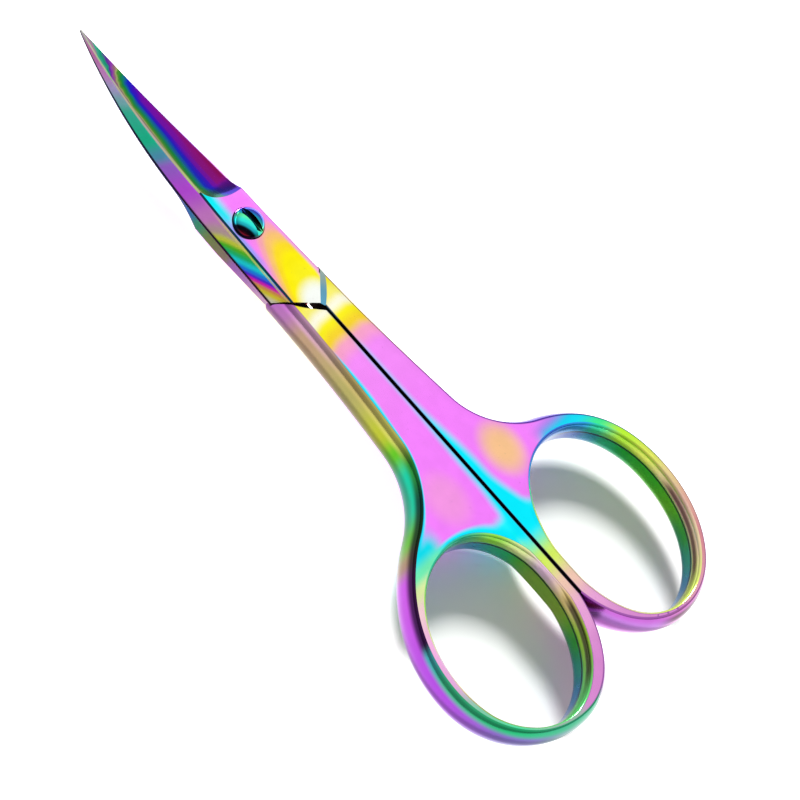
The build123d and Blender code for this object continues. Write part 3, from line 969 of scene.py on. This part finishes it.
def loop_wall(film):
    """Inside of a finger loop: green in the middle, teal and blue at its ends, with a pale band
    over a dark line near the top, and a dark red streak in the band's rear part."""
    shift = 0.0 if film.side < 0 else 0.8
    colour = film.ramp(film.x, [
        (-61.5, "1048a8"), (-60, "1078b0"), (-58.2, "18a088"), (-56, "30a838"),
        (-52.5, "60c810"), (-49, "28c818"), (-45.0 - shift, "08c030"), (-42.6 - shift, "08c080"),
        (-41, "1098c0"), (-39.6, "4468c8"), (-38, "9080d0")
    ])
    tan = film.band(film.x, -54.0, -46.0, 2.0)
    colour = film.mix(film.times(tan, 0.55 if film.side > 0 else 0.05), colour, "b0a448")
    low = film.step(film.z, 0.0, -2.2)
    colour = film.mix(film.times(low, 0.4), colour, film.mix(tan, "1858a8", "80a840"))
    rim = film.step(film.z, 0.55, 0.85)
    if film.side < 0:
        cream = [(-61, "d0e060"), (-57, "e0c8a0"), (-53, "dcb0a0"), (-50, "e0c890"), (-47, "e8f060"),
                 (-43.5, "b8f030"), (-41, "20e0a0"), (-39.5, "20a0f0"), (-37.5, "3060d8")]
    else:
        cream = [(-61, "60d070"), (-56, "a0d030"), (-52, "e8c880"), (-48, "f4c8e8"), (-45, "e8f0a0"),
                 (-42, "a0f040"), (-39.5, "20c8a0")]
    colour = film.mix(rim, colour, film.ramp(film.x, cream))
    line = film.band(film.z, 0.32, 0.60, 0.08)
    colour = film.mix(film.times(line, 0.92), colour, "0c0c14")
    bottom, top, front = (0.9, 1.6, -50.5) if film.side < 0 else (1.3, 2.1, -52.0)
    streak = film.times(film.band(film.z, bottom, top, 0.2), film.band(film.x, -60.0, front, 1.2))
    colour = film.mix(film.times(streak, 0.9), colour, "480c14" if film.side < 0 else "2c060c")
    return film.finish(colour, 0.12, 0.55)


def cut(film):
    """Walls of the V's gap, dark with painted shade, and walls of the slit, violet to teal with
    painted shade along their top and bottom borders.
    """
    # painted shade: the V's gap walls are near black, a little lighter only at their top and bottom
    gap = film.ramp(film.z, [(-2.2, "302838"), (0, "100c14"), (1.9, "100c14"), (2.2, "284858")])
    slit = film.ramp(film.x, [
        (-50, "c890b8"), (-46, "a0a868"), (-41, "20a8a8"), (-36, "8858c8"),
        (-26, "a860c8"), (-18, "b878b8"), (-13.5, "a89868")
    ])
    # painted shade along the slit's top and bottom borders
    border = film.step(film.math("ABSOLUTE", film.z), 1.55, 1.80)
    slit = film.mix(border, slit, "0c0a12")
    colour = film.mix(film.step(film.x, -13.3, -14.3), gap, slit)
    return film.finish(colour, 0.2)


def facet(film):
    """Slope between the block and the handle's top."""
    colour = film.ramp(film.t, [(0, "68b4d8"), (1.2, "6cacc8"), (2.4, "9cb8b4"), (3.4, "c0c8b8")])
    return film.finish(colour, 0.12)


MAKERS = (block_top, spine, bevel, inner_face, flat, side_wall, loop_wall, cut, facet, edge_side)


def coating(prefix, side):
    """The materials of one forging, in the order of ZONES."""
    return [make(Film(prefix + "_" + make.__name__, side)) for make in MAKERS]


def screw_film():
    """Screw head: spring green and teal in the middle, purple-blue beyond, and black, then dark
    red, towards the near rim, with painted shade round its foot and on the slot's walls."""
    film = Film("screw_film", 1)
    near = film.plus(film.t, film.times(film.x, -0.35))
    colour = film.ramp(near, [
        (-1.9, "2a1c90"), (-1.3, "4838d0"), (-0.85, "3058c8"), (-0.3, "18a8c0"), (0.15, "60f4a8"),
        (0.75, "30e8d8"), (1.15, "20a8b8"), (1.4, "0a0a18"), (1.6, "0a0a14"), (1.95, "600818")
    ])
    # painted shadow round the head's foot, where it sits on the block
    foot = film.step(film.z, BLOCK_T + 0.36, BLOCK_T + 0.20)
    colour = film.mix(film.times(foot, 0.9), colour, "0c1020")
    # painted shade on the slot's walls
    slot_wall_shade = film.step(film.math("ABSOLUTE", film.nt), 0.9, 0.99)
    colour = film.mix(slot_wall_shade, colour, "101018")
    return film.finish(colour, 0.10)


def screw(material):
    """Domed head with rounded slot, over the plain shank."""
    seat = BLOCK_T - HEAD_SINK
    turns = [k * pi / 2 / 22 for k in range(1, 22)]
    dome = [(HEAD_R * cos(a), BLOCK_T + HEAD_H * sin(a)) for a in turns]
    thin = THIN * SCREW_R
    profile = [(0, -BLOCK_T - 0.1), (0.75 * SCREW_R, -BLOCK_T - 0.1), (1.04 * SCREW_R, -BLOCK_T),
               (thin, -BLOCK_T + 0.36), (thin, -0.02), (SCREW_R, 0.02), (SCREW_R, seat),
               (HEAD_R - 0.04, seat), (HEAD_R, seat + 0.04), (HEAD_R, BLOCK_T)]
    profile += dome + [(0, BLOCK_T + HEAD_H)]
    head = lathe("screw", profile, ["cut"] * (len(profile) - 1), [material] * len(ZONES))
    floor_z = BLOCK_T + 0.3 * HEAD_H
    half, soft = SLOT_W / 2, 0.08
    corner = [(half - soft * (1 - cos(a)), floor_z + soft * (1 - sin(a)))
              for a in (pi / 2, pi / 3, pi / 6)]
    outline = [(-half, 4), (-half, floor_z + soft)]
    outline += [(-x, z) for x, z in reversed(corner)] + corner
    outline += [(half, floor_z + soft), (half, 4)]
    turn = Matrix(((0, 0, 1, 0), (1, 0, 0, 0), (0, 1, 0, 0), (0, 0, 0, 1)))
    slot = prism("slot", outline, -3, 3, ["cut"] * len(outline), [material] * len(ZONES), turn)
    boolean(head, slot, "DIFFERENCE")
    in_place(head, "lower_scissor_half", "pivot_screw")


# -------- floor, camera and light

FLOOR_GLOW = 0.75  # keeps the floor white where the openings don't show it
OPENING_SHIFT = 1.6  # the camera sees the floor this far along -Y of an opening
LENS = 207
CAMERA_RIGHT = Vector((-0.6654, -0.6116, 0.4282))
CAMERA_UP = Vector((0.7466, -0.5451, 0.3817))
CAMERA_PLACE = Vector((-24.6, 279.0, 399.4))
KEY_PLACE = Vector((0.29, -0.34, 0.42))  # from the pivot, in metres
KEY_SIZE = 0.15
KEY_ENERGY = 5.6
HORIZON = (0.45, 0.45, 0.46, 1)
SKY_ON_FLOOR = 0.42  # the sky's strength for everything but reflections
SKY_IN_METAL = 1.08  # and in reflections


def floor():
    """Pale floor, glowing white except where the finger openings show it, so that the shadows
    inside the openings stay."""
    bpy.ops.mesh.primitive_plane_add(size=4.0, location=(0, 0, -FLOOR_DROP * MM))
    plane = bpy.context.object
    plane.name = "floor"
    paper = Film("floor_paper", 1)
    paper.shader.inputs["Base Color"].default_value = (0.92, 0.92, 0.92, 1)
    paper.shader.inputs["Roughness"].default_value = 0.8
    openings = []
    for shape, way in ((UPPER, -1), (LOWER, 1)):
        front, outside, back, slit = shape["hole"]
        middle = way * (outside[1] + slit[1]) / 2 - OPENING_SHIFT
        across = paper.off(paper.x, (front[0] + back[0]) / 2, (front[0] - back[0]) / 2)
        over = paper.off(paper.t, middle, (outside[1] - slit[1]) / 2)
        rim = 1.1  # 1 is the opening's own outline
        openings.append(paper.step(paper.plus(across, over), rim + 0.4, rim))
    glow = paper.math("SUBTRACT", 1.0, paper.math("MAXIMUM", *openings))
    paper.shader.inputs["Emission Color"].default_value = (1, 1, 1, 1)
    paper.link(paper.times(glow, FLOOR_GLOW), paper.shader.inputs["Emission Strength"])
    plane.data.materials.append(paper.material)


def camera():
    """Camera at the photograph's angle."""
    data = bpy.data.cameras.new("camera")
    data.sensor_width = 36
    data.lens = LENS
    data.clip_start = 0.01
    obj = bpy.data.objects.new("camera", data)
    bpy.context.collection.objects.link(obj)
    turn = Matrix((CAMERA_RIGHT, CAMERA_UP, CAMERA_RIGHT.cross(CAMERA_UP)))
    obj.matrix_world = turn.transposed().to_4x4()
    obj.matrix_world.translation = PIVOT + CAMERA_PLACE * MM
    bpy.context.scene.camera = obj


def light():
    """A lamp that casts the soft shadows, and a sky that is white overhead and grey at the horizon."""
    lamp = bpy.data.lights.new("key", "AREA")
    lamp.size = KEY_SIZE
    lamp.energy = KEY_ENERGY
    key = bpy.data.objects.new("key", lamp)
    bpy.context.collection.objects.link(key)
    key.location = PIVOT + KEY_PLACE
    key.rotation_euler = (-key.location).to_track_quat("-Z", "Y").to_euler()

    world = bpy.data.worlds.new("studio")
    bpy.context.scene.world = world
    world.use_nodes = True
    tree = world.node_tree
    new, link = tree.nodes.new, tree.links.new
    coords = new("ShaderNodeTexCoord")
    height = new("ShaderNodeSeparateXYZ")
    ramp = new("ShaderNodeValToRGB")
    elements = ramp.color_ramp.elements
    elements[0].position, elements[0].color = 0.0, HORIZON
    elements[1].position, elements[1].color = 0.75, (1, 1, 1, 1)
    link(coords.outputs["Generated"], height.inputs[0])
    link(height.outputs[2], ramp.inputs[0])
    background = tree.nodes["Background"]
    link(ramp.outputs[0], background.inputs["Color"])
    path = new("ShaderNodeLightPath")
    strength = new("ShaderNodeMapRange")
    strength.inputs["To Min"].default_value = SKY_ON_FLOOR
    strength.inputs["To Max"].default_value = SKY_IN_METAL
    link(path.outputs["Is Glossy Ray"], strength.inputs["Value"])
    link(strength.outputs[0], background.inputs["Strength"])
    bpy.context.scene.view_settings.view_transform = "Standard"


pieces(coating("upper", -1), coating("lower", 1))
screw(screw_film())
floor()
camera()
light()
